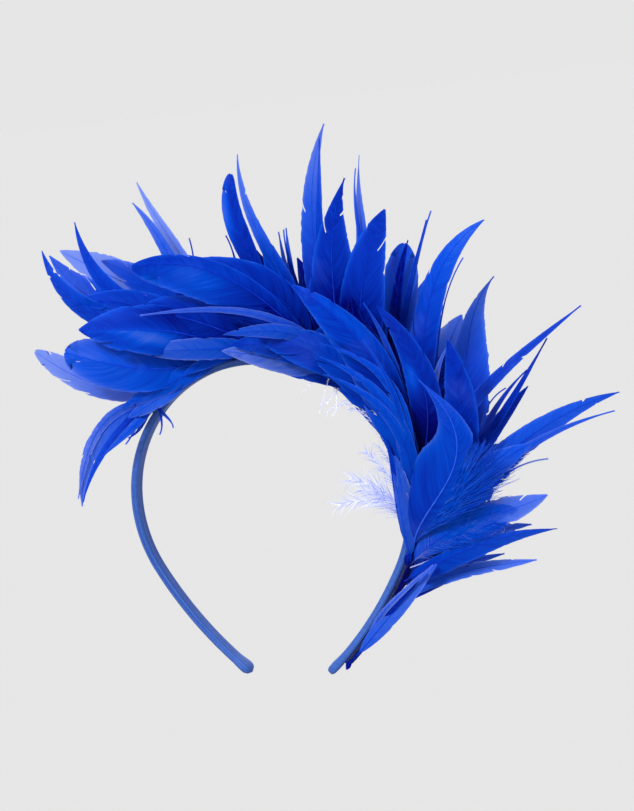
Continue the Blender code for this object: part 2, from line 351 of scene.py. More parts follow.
def satinShader(tree):
    # polyester satin, woven and pulled tight: a soft broad sheen, and a fine slanting twill line
    place = addNode(tree, "ShaderNodeUVMap", {"uv_map": "featherMap"})
    scale = (1 / weave["satinThread"], weave["satinTurns"], 1.0)
    spread = addNode(tree, "ShaderNodeMapping", {"Scale": scale}, {"Vector": place})
    rotation = (0.0, 0.0, math.radians(weave["satinSlant"]))
    slanted = addNode(tree, "ShaderNodeMapping", {"Rotation": rotation}, {"Vector": spread})
    ridges = {"Scale": 1.0, "Distortion": 1.4, "Detail": 2.0, "Detail Scale": 1.6}
    threads = addNode(tree, "ShaderNodeTexWave", ridges, {"Vector": slanted})
    woven = addNode(tree, "ShaderNodeMix", {0: 0.45},
                    {2: threads.outputs["Fac"], 3: solidNoise(tree, 900.0, 4.0, 0.7)})
    # creases along the band, where the strip was pulled round it: they bump the surface, and their shade is
    # painted into the colour as darker and lighter lengthwise streaks
    creasesAndShade = addNode(tree, "ShaderNodeMix", {0: 0.45},
                      {2: woven, 3: streakNoise(tree, 0.012, 26.0, 3.0, 0.6)})
    shade = rampStops(addNode(tree, "ShaderNodeValToRGB", links={"Fac": creasesAndShade}),
                      ((0.35, "#15307A"), (0.5, "#274A92"), (0.7, "#466CB8")))
    bump = addNode(tree, "ShaderNodeBump", {"Strength": 0.35, "Distance": 0.00012}, {"Height": creasesAndShade})
    return addNode(tree, "ShaderNodeBsdfPrincipled",
                   {"Roughness": 0.45, "Specular IOR Level": 0.16, "Sheen Weight": 0.06,
                    "Sheen Roughness": 0.4, "Sheen Tint": hexColour("#7C9CF0"), "IOR": 1.54},
                   {"Base Color": shade, "Normal": bump})


def vaneShader(tree):
    # goose feather, acid dyed: silky barbs in fine slanting lines, pale where one thin layer lets light in
    tone = addNode(tree, "ShaderNodeAttribute", {"attribute_name": "tone"}).outputs["Fac"]
    thin = addNode(tree, "ShaderNodeAttribute", {"attribute_name": "thin"}).outputs["Fac"]
    fine = streakNoise(tree, 1 / weave["barbPitch"], 1.2, 2.0, 0.6)
    broad = streakNoise(tree, 0.28, 0.8, 3.0, 0.55)
    streaks = addNode(tree, "ShaderNodeMix", {0: 0.38}, {2: fine, 3: broad})
    centred = addNode(tree, "ShaderNodeMath", {"operation": 'MULTIPLY_ADD', 1: 0.46, 2: -0.23}, {0: streaks})
    # the tone attribute: the dye's shade, with painted shade at the roots and beside the shafts and a painted
    # light rim along the edges
    dyeAndPaintedShading = addNode(tree, "ShaderNodeMath", {"operation": 'MULTIPLY_ADD', 1: 0.4}, {0: tone, 2: centred})
    depth = addNode(tree, "ShaderNodeMath", {"operation": 'MULTIPLY_ADD', 1: 0.18}, {0: thin, 2: dyeAndPaintedShading})
    blue = rampStops(addNode(tree, "ShaderNodeValToRGB", links={"Fac": depth}),
                     ((0.0, "#00002A"), (0.2, "#000364"), (0.4, "#00299C"), (0.6, "#0044BC"),
                      (0.8, "#3458C0"), (1.0, "#6C80CC")))
    # patches where the dye took less, a greyer violet
    strength = {"From Min": 0.56, "From Max": 0.78, "To Max": 0.42}
    spotted = addNode(tree, "ShaderNodeMapRange", strength, {"Value": solidNoise(tree, 42.0, 2.0, 0.5)})
    fadedStreaks = addNode(tree, "ShaderNodeMath", {"operation": 'MULTIPLY'}, {0: spotted, 1: streaks})
    colour = addNode(tree, "ShaderNodeMix", {"data_type": 'RGBA', 7: hexColour("#3E5CCC")},
                     {0: fadedStreaks, 6: blue})
    through = rampStops(addNode(tree, "ShaderNodeValToRGB", links={"Fac": thin}),
                        ((0.0, "#002CB8"), (0.5, "#4468DC"), (1.0, "#98ACF4")))
    bump = addNode(tree, "ShaderNodeBump", {"Strength": 0.6, "Distance": 0.00018}, {"Height": streaks})
    silk = {"Roughness": 0.5, "Specular IOR Level": 0.02, "IOR": 1.54}
    surface = addNode(tree, "ShaderNodeBsdfPrincipled", silk,
                      {"Base Color": colour.outputs[2], "Normal": bump})
    glow = addNode(tree, "ShaderNodeBsdfTranslucent", links={"Color": through})
    share = addNode(tree, "ShaderNodeMath", {"operation": 'MULTIPLY_ADD', 1: 0.46, 2: 0.09}, {0: thin})
    return addNode(tree, "ShaderNodeMixShader", links={0: share, 1: surface, 2: glow})


def quillShader(tree):
    # keratin shaft, dyed: paler on pale feathers, and a thick one painted paler still, a painted highlight
    # along its raised ridge that shows as a fine pale line
    tone = addNode(tree, "ShaderNodeAttribute", {"attribute_name": "tone"}).outputs["Fac"]
    uneven = addNode(tree, "ShaderNodeMath", {"operation": 'MULTIPLY_ADD', 1: 0.5, 2: -0.25},
                     {0: streakNoise(tree, 0.25, 0.25, 2.0, 0.5)})
    paleness = addNode(tree, "ShaderNodeMath", {"operation": 'ADD'}, {0: tone, 1: uneven})
    shade = rampStops(addNode(tree, "ShaderNodeValToRGB", links={"Fac": paleness}),
                      ((0.0, "#0420A0"), (0.35, "#0838B8"), (1.0, "#3468E0")))
    return addNode(tree, "ShaderNodeBsdfPrincipled",
                   {"Roughness": 0.45, "Specular IOR Level": 0.03, "IOR": 1.54}, {"Base Color": shade})


def downShader(tree):
    # down at the feather's foot: fine loose barbs that hold little dye, so they look whitish violet
    tone = addNode(tree, "ShaderNodeAttribute", {"attribute_name": "tone"}).outputs["Fac"]
    shade = rampStops(addNode(tree, "ShaderNodeValToRGB", links={"Fac": tone}),
                      ((0.0, "#0030B8"), (0.4, "#6C84E0"), (0.75, "#C4CAF0"), (1.0, "#ECEEFA")))
    surface = addNode(tree, "ShaderNodeBsdfPrincipled",
                      {"Roughness": 0.7, "Specular IOR Level": 0.2, "IOR": 1.54}, {"Base Color": shade})
    glow = addNode(tree, "ShaderNodeBsdfTranslucent", links={"Color": shade})
    return addNode(tree, "ShaderNodeMixShader", {0: 0.4}, {1: surface, 2: glow})


def feltShader(tree):
    # wool felt stiffened with hot glue: almost black, matt, with small glossy specks
    fibres = solidNoise(tree, 1600.0, 5.0, 0.75)
    shade = rampStops(addNode(tree, "ShaderNodeValToRGB", links={"Fac": fibres}),
                      ((0.40, "#02061E"), (0.58, "#0A1A5C"), (0.72, "#3C5CB4")))
    gleam = {"From Min": 0.4, "From Max": 0.7, "To Min": 0.9, "To Max": 0.35}
    rough = addNode(tree, "ShaderNodeMapRange", gleam, {"Value": fibres})
    bump = addNode(tree, "ShaderNodeBump", {"Strength": 0.8, "Distance": 0.0002}, {"Height": fibres})
    return addNode(tree, "ShaderNodeBsdfPrincipled", {"Specular IOR Level": 0.35, "IOR": 1.5},
                   {"Base Color": shade, "Roughness": rough, "Normal": bump})


satin = newMaterial("polyester satin", satinShader)
vane = newMaterial("dyed goose vane", vaneShader)
shaft = newMaterial("dyed quill", quillShader)
down = newMaterial("dyed down", downShader)
felt = newMaterial("glued felt", feltShader)
print("materials: satin, vane, quill, down, felt")


layers = {
    "gap": 0.0003,          # between the solids of the frame
    "bedded": 0.0001,       # how deep the glued felt sits in its neighbours, so that no gap shows
    "feltWidth": 0.0044,
    "feltThickness": 0.0009,
    "feltMargin": 0.8,      # degrees, how far the felt runs on past the spines
    "feltSteps": 420,
    "feltColumns": 10,
    "feltFray": 0.06,
    "feltLump": 0.00012,
    "spineThickness": 0.0014,
    "spineStart": -48,
    "spineEnd": 135,
    "spineSteps": 150,
    "spineSides": 8,
    "spineLump": 0.18,
}
spineHeight = (band["thickness"] / 2 + 2 * layers["gap"] + layers["feltThickness"]
               + layers["spineThickness"] / 2)

plumage = {
    "bareQuill": 0.06,      # share of the length below the vane
    "rootWidth": 0.0012,
    "tipWidth": 0.0007,
    "cup": 0.10,
    "wave": 0.05,
    "barbStep": 0.0009,     # between modelled barbs; real ones lie 0.4 mm apart
    "fewestBarbs": 14,
    "columns": 8,           # points along a barb
    "narrow": 0.006,        # up to this width a feather has half as many
    "barbSlant": 1.9,       # how far forward a barb ends, in widths of the vane
    "slitApart": 5,         # fewest barbs between two slits
    "slitWidth": 0.0006,
    "slitGap": 0.035,       # how much shorter the barbs beside a slit are
    "fray": 0.05,           # how uneven the edge is, as a share of the width
    "clumpReach": 0.14,     # how far the barbs between two slits step in or out
    "clumpTone": 0.06,
    "shaftRadius": 0.00032,
    "shaftSides": 6,
    "shaftStations": 36,
    "edgePaintedLight": 0.60,       # how much paler and thinner the edge of a vane is; the paleness is a painted light rim
    "edgeThin": 0.25,
    "footPaintedShade": 0.10,      # painted shade: how much darker the vane is right beside its shaft
    "rootPaintedShade": 0.25,      # painted shade: how much darker a feather is at its root, where the others cover it
    "uprightPaintedShade": 0.90,   # the same for the upright ones, which stand close together
    "armPaintedShade": 0.10,       # and for the last ones on the arm, which stand free
    "thinRoot": 0.70,       # how thin a feather is near its root, as a share of its thinness at the tip
    "uprightThinRoot": 0.25,
    "uprightHeadings": (60, 112),
    "uprightLast": 90,      # seats, in degrees
    "armFirst": 112,
    "mapSize": 400,         # mm of map to start in, so that no two feathers look the same
}

# how the width runs: powers of the distance from the root and of the distance from the tip
Cut = namedtuple("Cut", "fromRoot fromTip")
cuts = {
    "leaf": Cut(0.75, 0.85),
    "round": Cut(0.65, 0.50),
    "sabre": Cut(0.45, 0.95),
    "blade": Cut(0.35, 0.85),
    "spoon": Cut(1.10, 0.50),
    "spike": Cut(0.20, 0.85),
    "drop": Cut(0.60, 1.30),
    "lozenge": Cut(1.50, 1.80),
}

Row = namedtuple("Row", "name across facesViewer")
rows = {
    "back": Row("backPlume", 0.0025, False),
    "middle": Row("middlePlume", 0.0, True),
    "front": Row("frontPlume", -0.0025, True),
}

# The first twelve columns are those of the CAD source, but from reach to arch in mm. Angles are in degrees.
# tone: how pale the feather looks, 1 is royal blue and less is darker; the low tone of feathers deep between
# the others is painted shade. thin: how much light comes through.
# splits: how many slits the vane has.
Feather = namedtuple("Feather", "row seat heading reach forward width bowLow bowHigh arch turn lean "
                                "cut tone thin splits")
featherTable = (
    # left shoulder
    ("middle", -18, 143, 92, 3, 13, -5, 29, 1, 20, 0, "leaf", 1.05, 0.3, 3),
    ("back", -14, 150, 99, -14, 16, -3, 21, -3, -15, -0.3, "leaf", 1.05, 0.6, 2),
    ("back", -8, 151.5, 103, -20, 22.5, -6, 0, -3, 10, 0, "leaf", 1.15, 1, 2),
    ("middle", -12, 134.5, 91, 0, 11, 6, 25, 1, 0, 0, "blade", 1, 0.2, 0),
    ("middle", -2, 162, 85, 3, 14, -4, -15, 1, -14, 0, "leaf", 0.98, 0.2, 2),
    ("middle", -32, 166.3, 71, 3, 14, 15, 11, 1, 12, 0, "round", 1.5, 1, 4),
    ("front", 33, 145.8, 97, 20, 20.5, -19, -29, 6, 8, -0.5, "round", 0.97, 0.1, 3),
    ("front", -6, 164, 66, 22, 22, -13, -4, 5, -10, 0, "leaf", 0.92, 0.3, 2),
    ("front", 42, 153, 92, 32, 4, -34, -18, 8, 0, 0, "spike", 1.5, 0.8, 0),
    ("front", 36, 147, 48, 28, 7, -22, -12, 6, 15, 0, "leaf", 1.4, 0.5, 1),
    ("front", -16, 170.9, 64, 16, 23, 8, 4, 4, -8, 0, "round", 1.32, 0.35, 2),
    ("front", 14, 173, 67, 14, 10, -6, 0, 4, 6, 0, "leaf", 1.45, 0.6, 2),
    ("front", -45, -130.2, 59, 10, 9, -17, -13, 2, 25, 0, "blade", 1.7, 0.6, 2),
    # over the crown
    ("back", -14, 114, 87, -12, 7, -11, 1, -2, 20, 0, "leaf", 1.6, 1, 1),
    ("middle", -18, 111, 78, -2, 6, -4, -9, 0, -25, 0, "leaf", 1.5, 0.75, 1),
    ("middle", 6, 94.9, 79, 0, 12, -16, 10, 1, 24, -0.2, "spoon", 0.85, 0.1, 1),
    ("back", 3, 96, 48, -10, 8, -8, -2, -2, -20, 0, "leaf", 0.35, 0.1, 1),
    ("middle", 22, 102.7, 94, 2, 9, -11, 12, 1, 30, 0, "blade", 1.25, 0.8, 2),
    ("back", 18, 95, 55, -10, 3, -9, 3, -2, 0, 0, "spike", 1, 0.6, 0),
    ("back", 24, 100, 45, -12, 11, -5, -3, -2, 15, 0, "leaf", 0.7, 0, 1),
    ("middle", 30, 83.6, 106, 2, 11.5, 1, 13, 1, -20, 0, "sabre", 1.15, 0.8, 1),
    ("front", 36, 78.1, 89, 16, 23, -1, 9, 4, -12, 0, "drop", 0.85, 0.1, 2),
    ("back", 38, 82.9, 96, -12, 10, -14, 2, -2, 30, 0, "drop", 1.15, 0.9, 1),
    ("front", 46, 72.2, 85, 18, 21, 4, 8, 4, 10, 0, "leaf", 0.88, 0.12, 2),
    ("back", 54, 79, 71, -14, 17, 3, 0, -3, -12, 0, "round", 1.32, 0.3, 2),
    # right shoulder
    ("back", 62, 76, 94, -12, 4, 6, 6, -2, 0, 0, "spike", 1, 0.5, 0),
    ("middle", 70, 64, 107, 2, 13, -3, 26, 1, 16, 0, "leaf", 1.1, 0.25, 2),
    ("back", 82, 64.8, 92, -16, 20, -22, 13, -3, -14, -0.2, "drop", 0.98, 0.6, 2),
    ("front", 84, 89.1, 83, 26, 15, -18, -23, 6, 12, -0.1, "leaf", 0.8, 0.15, 1),
    ("front", 98, 70.9, 87, 20, 16, -19, -18, 6, -14, 0, "leaf", 0.82, 0.1, 1),
    ("front", 110, 77.8, 85, 28, 28, -2, -47, 7, 5, -0.15, "lozenge", 1.12, 0.2, 0),
    ("front", 74, 112.3, 89, 24, 18, -21, -20, 8, -6, -0.25, "leaf", 1, 0.15, 3),
    ("front", 80, 95, 79, 18, 6, -5, -13, 4, 14, 0, "spike", 1.1, 0.6, 0),
    ("front", 60, 147, 75, 14, 18, -25, -17, 4, 6, 0, "leaf", 1, 0.2, 3),
    ("front", 52, 139, 57, 20, 17, -20, -7, 5, -8, 0, "leaf", 0.9, 0.2, 2),
    ("front", 44, 158, 61, 12, 12, -7, -5, 3, 0, 0, "leaf", 1.9, 0.55, 0),
    ("front", 66, 132, 69, 18, 16, -10, -22, 5, 8, 0, "leaf", 1.05, 0.3, 3),
    ("front", 90, 107, 76, 16, 16, -10, -12, 5, -8, 0, "leaf", 1.3, 0.2, 2),
    ("front", 99, 92, 61, 14, 11, 0, -10, 4, 10, 0, "leaf", 1.05, 0.5, 3),
    # right arm
    ("front", 106, 96, 49, 10, 6, -2, -4, 2, -15, 0, "leaf", 0.95, 0.3, 1),
    ("front", 108, 33, 50, 12, 16.5, 1, 0, 4, 10, 0, "leaf", 1, 0.5, 3),
    ("middle", 92, 46, 115, 0, 6, 17, 8, 1, 20, 0, "sabre", 0.85, 0.4, 1),
    ("back", 100, 48, 76, -12, 8, -2, 2, -2, -20, 0, "leaf", 0.75, 0.1, 0),
    ("middle", 112, 35, 120, 3, 14, 7, 16, 1, -14, 0, "blade", 1.3, 0.35, 3),
    ("front", 116, 26, 77, 14, 15, 11, 1, 4, 8, 0, "leaf", 1.4, 0.75, 3),
    ("middle", 117, 17, 59, -2, 6, 0, 5, 0, 15, 0, "leaf", 1, 0.5, 2),
    ("front", 120, 19, 80, 12, 9, 5, 8, 3, -20, 0.3, "sabre", 1.12, 0.3, 1),
    ("back", 121, 14, 47, -8, 4, 1, 1, -2, 0, 0, "leaf", 1, 0.4, 0),
    ("middle", 125, 17.8, 74, 3, 6, 10, 5, 1, 15, 0, "leaf", 1.55, 0.65, 2),
    ("front", 134, 44.7, 64, 7, 8, 0, 1, 3, 12, 0, "leaf", 1.72, 0.4, 2),
    # behind, leaning away
    ("back", -40, 168, 52, -22, 18, 4, 4, -4, 14, 0, "leaf", 0.95, 0.3, 2),
    ("back", -28, 150, 55, -30, 20, 2, 4, -4, -12, 0, "leaf", 1, 0.3, 3),
    ("back", -16, 136, 48, -34, 20, 0, 5, -4, 10, 0, "round", 0.95, 0.3, 2),
    ("back", -2, 122, 44, -38, 20, 0, 4, -4, -16, 0, "leaf", 1, 0.3, 2),
    ("back", 12, 110, 42, -34, 19, 0, 4, -4, 14, 0, "leaf", 0.9, 0.3, 2),
    ("back", 28, 98, 44, -38, 20, 0, -3, -4, -10, 0, "round", 1, 0.3, 2),
    ("back", 42, 88, 52, -32, 20, 0, -3, -4, 16, 0, "leaf", 0.95, 0.3, 3),
    ("back", 58, 78, 56, -36, 20, 0, -4, -4, -12, 0, "leaf", 1, 0.3, 2),
    ("back", 74, 70, 60, -30, 20, 0, 4, -4, 14, 0, "leaf", 1.45, 0.6, 2),
    ("back", 92, 56, 45, -34, 19, 0, 4, -4, -16, 0, "leaf", 1, 0.3, 3),
    ("back", 108, 46, 52, -26, 18, 2, 4, -4, 12, 0, "leaf", 0.95, 0.3, 2),
    ("back", 122, 36, 46, -18, 14, 3, 3, -3, -10, 0, "leaf", 1, 0.3, 2),
    # strands and a filling feather
    ("middle", 96, 49.3, 98, -2, 4, -6, -4, 1, 10, 0, "sabre", 0.75, 0.1, 0),
    ("middle", 113, 32.9, 115, 5, 4.5, 11, 15, 1, -10, 0, "sabre", 1.6, 0.4, 0),
    ("front", 8, 158, 62, 12, 21, -6, -8, 4, 6, 0, "leaf", 0.78, 0.15, 2),
)


def inMetres(kind, line, first, last):
    # a line of a table, its mm from the first to before the last column turned into metres
    return kind(*line[:first], *(length * mm for length in line[first:last]), *line[last:])


feathers = [inMetres(Feather, line, 3, 9) for line in featherTable]

# strands that have come loose, forked tips and small spikes, with the same columns
strayTable = (
    ("back", 20, 96, 56.5, -10, 5, 1, 2.5, -2, 0, 0, "spike", 1, 0.6, 0),
    ("back", 19, 98.5, 55, -9, 4.5, 0, 1.5, -2, 0, 0, "spike", 1.05, 0.6, 0),
    ("middle", 6, 104, 54, 0, 2.4, 11.5, -4, 0, 0, 0, "spike", 0.7, 0.2, 0),
    ("back", -10, 107, 54.5, -8, 1.8, 16.5, 1.5, -2, 0, 0, "spike", 0.8, 0.3, 0),
    ("back", 78, 71.5, 93.5, -8, 1.4, -7, 11.5, -2, 0, 0, "spike", 0.9, 0.6, 0),
    ("back", 60, 75.5, 88.5, -10, 3, 6.5, 3.5, -2, 10, 0, "spike", 0.9, 0.4, 0),
    ("back", 38, 83.5, 90.5, -10, 4, -20, 4, -2, 10, 0, "spike", 1.1, 0.8, 0),
    ("middle", 31, 85.5, 100.5, 2, 5, 4, 1.5, 1, 0, 0, "spike", 1.1, 0.7, 0),
    ("middle", 95, 48, 81, -1, 4, -9, 5, 1, 12, 0, "sabre", 0.5, 0.4, 0),
    ("middle", 96, 50.5, 70, -1, 1.4, -31, 12, 1, 0, 0, "spike", 0.8, 0.5, 0),
    ("back", 112, 32, 73.5, -6, 2, -4, 14, -1, 0, 0, "spike", 1.2, 0.9, 0),
    ("middle", 124, 20, 55, 1, 5.5, 1.5, 5, 1, 10, 0, "sabre", 0.6, 0.1, 1),
    ("front", -36, -133, 34.5, 4, 2.4, -6.5, 1, 1, 0, 0, "spike", 0.95, 0.6, 0),
    ("front", -37, -138, 22.5, 4, 2.4, -1.5, 1.5, 1, 0, 0, "spike", 0.9, 0.5, 0),
    ("front", -38, -79, 17.5, 4, 2.2, -12, 2.5, 1, 0, 0, "spike", 0.9, 0.5, 0),
    ("front", -39, -99, 19.5, 4, 1.8, -4, 4, 1, 0, 0, "spike", 0.9, 0.5, 0),
    ("front", -39, -133, 27, 5, 3, -3.5, 5.5, 1, 0, 0, "spike", 0.8, 0.4, 0),
    ("front", 134.5, -132, 5.5, 1, 2.6, -1.5, 0.5, 0.5, 0, 0, "leaf", 0.4, 0, 0),
    ("front", 104, 97.5, 41.5, 10, 2.4, 2.5, -5.5, 2, 0, 0, "spike", 0.95, 0.4, 0),
    ("front", 102, 90.5, 46.5, 10, 2.4, 2, 1.5, 2, 0, 0, "spike", 0.95, 0.4, 0),
    ("front", -8, -159, 56, 8, 9, -0.5, -0.5, 3, 14, 0, "leaf", 1.3, 0.5, 2),
    ("front", -20, -149.5, 42, 7, 8, 2.5, 1.5, 3, -12, 0, "leaf", 1.5, 0.5, 2),
    ("front", 0, -166, 31, 7, 5.5, -3, -2.5, 2, 8, 0, "leaf", 1.2, 0.2, 0),
    ("back", -4, 148, 82, -10, 17.5, 2.5, -5.5, -2, 10, 0, "leaf", 1.1, 0.6, 2),
    ("front", 114, 90, 43, 10, 7, -0.5, -2, 3, 0, 0.55, "leaf", 1.5, 0.7, 1),
    ("front", 108, 91, 43.5, 11, 6, 1.5, -3, 3, 8, 0.45, "leaf", 1.55, 0.5, 1),
    ("front", 117, 68, 9, 4, 3.5, 1, 1, 1, 8, 0, "leaf", 0.6, 0.1, 0),
    ("front", -2, 162, 66.5, 12, 13, -2.5, -9, 3, -8, 0, "leaf", 0.95, 0.2, 1),
    # narrow ones that sweep over the inner edge
    ("front", 100, 106, 90.5, 27, 7, -5, -44.5, 4, 0, 0, "sabre", 1.25, 0.3, 1),
    ("front", 102, 107, 87.5, 26, 8, -14.5, -32.5, 4, 8, 0, "sabre", 1.3, 0.3, 1),
    ("front", 98, 110, 76, 26, 6, -15.5, -28.5, 4, 0, 0, "sabre", 1.3, 0.3, 1),
    ("front", 92, 94.5, 79, 28, 4, -5.5, -13, 4, 0, 0, "spike", 1.2, 0.3, 1),
    # behind the lower right of the large feather
    ("front", 111, 39, 80, 14, 15, 9, 7, 4, 10, 0, "leaf", 1.4, 0.3, 4),
    ("front", 113, 24, 60, 13, 14, 3, 9, 4, -8, 0, "leaf", 1.35, 0.4, 5),
    # deep in between, in the shade: the low tone of the dark ones is painted shade
    ("middle", 14, 96, 55, 0, 10.5, -9, -3, 1, 0, 0, "leaf", 0.95, 0, 1),
    ("back", 30, 104, 49.5, -6, 10, -8, -3, -1, 0, 0, "leaf", 0.35, 0, 1),
    ("front", 50, 87.5, 48.5, 14, 11.5, -6, 1.5, 3, 6, 0, "leaf", 0.3, 0, 0),
    ("front", 66, 93.5, 56, 15, 8, -8.5, -4, 3, 0, 0, "leaf", 0.3, 0, 0),
    ("middle", 84, 92, 63.5, 2, 14, 1, -2, 1, 0, 0, "leaf", 0.2, 0, 0),
    # along the inside of the loop
    ("front", 48, 154.5, 44, 8, 6.5, -7.5, 0, 2, -10, 0, "leaf", 0.95, 0.25, 1),
    ("front", 72, 126, 39.5, 10, 11.5, -6, -7.5, 2, 8, 0, "leaf", 0.95, 0.25, 1),
    ("front", 84, 104, 36.5, 10, 9, -0.5, -2.5, 2, 8, 0, "leaf", 0.9, 0.25, 1),
    ("front", 92, 69, 78.5, 18, 6, -12.5, 9, 4, 0, 0, "spike", 1.2, 0.8, 2),
    ("back", 8, 101.5, 50, -9, 9.5, -20, 1.5, -2, 0, 0, "leaf", 0.35, 0, 1),
    # split off the hanging feather on the left
    ("front", -44, -133.5, 58, 11, 4.5, -21.5, -9.5, 2, 10, 0, "sabre", 1.9, 0.7, 1),
    ("front", -43, -130.5, 58, 12.5, 4, -7, -8, 2, -15, 0, "sabre", 1, 0.4, 1),
    ("front", -40, -137, 37, 12, 4, 2.5, 0.5, 2, 10, 0, "sabre", 1.4, 0.5, 0),
    # folded edge of the lowest feather
    ("front", 131, 45, 54.5, 10, 2.6, 6, 1.5, 3, 10, 0, "sabre", 1.9, 0.5, 0),
    ("front", 130, 45.5, 46, 9, 2.8, 1, 0, 3, -10, 0, "sabre", 0.75, 0.1, 0),
    # behind the upper left feather, and a dark one before the round one on the crown
    ("front", 24, 137.5, 72.5, 10, 17.5, -29.5, -11, 3, -6, 0, "leaf", 0.9, 0.1, 3),
    ("back", 56, 78, 75, -10, 6, 0, 5, -2, 14, 0, "leaf", 0.55, 0, 1),
    # a narrow one before the down inside the loop
    ("front", 112, 92.3, 56, 12, 5.3, 0.5, -3.5, 2, 0, 0, "sabre", 0.95, 0.2, 0),
)
strays = [inMetres(Feather, line, 3, 9) for line in strayTable]

# short feathers that fill the roots of the rows, between two seats, one in each step
Filling = namedtuple("Filling", "first last step reach forward width")
filling = {
    "front": Filling(-34, 112, 9.0, 0.026, 0.007, 0.0110),
    "middle": Filling(-36, 118, 8.0, 0.030, 0.001, 0.0120),
    "back": Filling(-38, 116, 6.0, 0.032, -0.017, 0.0130),
}


def makeFillers(rowKey, dice):
    fill = filling[rowKey]
    made = []
    for i in range(int((fill.last - fill.first) / fill.step)):
        seat = fill.first + fill.step * (i + dice.random())
        heading = 90 - 0.72 * seat + dice.uniform(-16, 16)
        reach = fill.reach * dice.uniform(0.8, 1.15)
        forward = fill.forward * dice.uniform(0.5, 1.4)
        width = fill.width * dice.uniform(0.85, 1.15)
        bow = dice.uniform(-0.004, 0.004)
        turn, tone = dice.uniform(-20, 20), dice.uniform(0.55, 0.80)
        made.append(Feather(rowKey, seat, heading, reach, forward, width, 0.0, bow, 0.001, turn, 0, "leaf",
                            tone, 0.10, 1))
    return made


# downy feathers of the front row, in mm from reach to step. barb: length of the loose barbs, step: the way
# between two, start and end: the stretch of the shaft that has them, tone: how pale they are
Tuft = namedtuple("Tuft", "seat heading reach forward bowLow bowHigh barb step start end tone")
tuftTable = (
    # inside the loop, on the right
    (103, 112.5, 42, 8, -6, -6, 10, 0.8, 0.2, 1, 0.7),
    (105, 128.5, 38, 8, -11, -9, 13.5, 0.6, 0.2, 1, 0.8),
    (106, 126.5, 32, 8, -10, -8, 11.5, 0.6, 0.2, 1, 0.7),
    (107, 145.5, 36, 8, -16, -13, 12.5, 0.6, 0.2, 1, 0.85),
    (100, 106, 40, 8, -4, -4, 6, 1.2, 0.2, 1, 0.6),
    (96, 124, 38, 8, 2, -18, 1.5, 3, 0.2, 1, 0.8),
    (88, 118, 50, 8, 8, -25, 4.5, 1.1, 0.2, 1, 0.75),
    (90, 118.5, 48, 8, 12, -30, 4.5, 1.1, 0.2, 1, 0.8),
    (74, 130, 33, 8, 4, -10, 5, 0.9, 0.2, 1, 0.8),
    (74, 124, 38.5, 8, -15, -10, 3, 0.7, 0.5, 1, 0.8),
    (76, 130, 37.5, 8, -5, -21, 3, 0.7, 0.5, 1, 0.8),
    (72, 122, 36.5, 8, -29, 0, 3, 0.7, 0.5, 1, 0.75),
    # under the middle of the loop
    (42, -140, 16, 5, 6, -2, 2.5, 1.2, 0.2, 1, 0.9),
    (38, -112, 15, 5, -5, 4, 2.5, 1.2, 0.2, 1, 0.95),
    (34, -120, 14, 5, 4, 5, 2.5, 1.2, 0.2, 1, 0.95),
    (50, -174, 22, 6, -40, -10, 2, 1.4, 0.5, 1, 0.95),
    (44, 176, 23.5, 6, -31, -5, 2, 1.4, 0.5, 1, 0.95),
    # on the arm, between the feathers
    (112, 38, 48, 12, 1, 1, 10, 0.4, 0.1, 0.9, 0.25),
    (116, 24, 56, 13, 6, 6, 8, 0.4, 0.1, 0.9, 0.25),
    (117, 17, 52, 4, 0, 6, 6, 0.6, 0.4, 1, 0.6),
)
tufts = [inMetres(Tuft, line, 2, 8) for line in tuftTable]

# vanes that end in loose barbs: from column on, between start and end of the vane, strands between two barbs
Rim = namedtuple("Rim", "feather side start end column strands reach tone thin")
rims = (
    Rim(30, 1, 0.0, 0.52, 4, 6, 2.6, 1.2, 0.35),
    Rim(44, 1, 0.1, 0.6, 5, 4, 1.4, 1.2, 0.5),
    Rim(43, 1, 0.1, 0.5, 5, 3, 1.4, 1.3, 0.35),
    Rim(6, -1, 0.0, 0.34, 3, 5, 1.8, 0.7, 0.1),
)

# spots where the vane is paler or darker; the darker ones low on the upright front feathers over the crown
# are painted shade: place along and across the vane, half sizes, change of tone
Spot = namedtuple("Spot", "feather along across halfLength halfWidth tone")
spots = (
    Spot(7, 0.5, -0.3, 0.2, 0.28, 0.9),
    Spot(7, 0.75, -0.12, 0.2, 0.12, 0.4),
    Spot(7, 0.35, 0.6, 0.3, 0.5, -0.35),
    Spot(6, 0.72, -0.35, 0.16, 0.4, 0.45),
    Spot(6, 0.28, -0.4, 0.2, 0.6, -0.4),
    Spot(11, 0.85, 0.2, 0.16, 0.6, 0.4),
    Spot(30, 0.3, 0.6, 0.2, 0.4, 0.35),
    Spot(10, 0.85, 0.3, 0.14, 0.4, 0.35),
    Spot(31, 0.75, 0.4, 0.2, 0.3, 0.25),
    Spot(28, 0.62, -0.5, 0.08, 0.3, 0.7),
    Spot(27, 0.88, 0.0, 0.14, 1.0, 0.6),
    Spot(27, 0.45, 0.6, 0.16, 0.4, 0.5),
    Spot(15, 0.8, -0.7, 0.14, 0.4, 0.8),
    Spot(26, 0.95, 0.0, 0.22, 1.0, 0.5),
    Spot(24, 0.9, 0.6, 0.12, 0.4, -0.7),
    Spot(23, 0.4, -0.7, 0.12, 0.5, -0.5),
    Spot(21, 0.38, 0.7, 0.1, 0.5, -0.4),
)


def midrib(feather, root, t):
    angle = math.radians(feather.heading)
    chord = Vector((feather.reach * math.cos(angle), -feather.forward, feather.reach * math.sin(angle)))
    left = Vector((-math.sin(angle), 0.0, math.cos(angle)))
    low, high = 3 * t * (1 - t) ** 2, 3 * t ** 2 * (1 - t)
    straight = chord * (low / 3 + high * 2 / 3 + t ** 3)
    bowed = left * (low * feather.bowLow + high * feather.bowHigh)
    swelled = Vector((0.0, -4 * feather.arch * t * (1 - t), 0.0))
    return root + straight + bowed + swelled


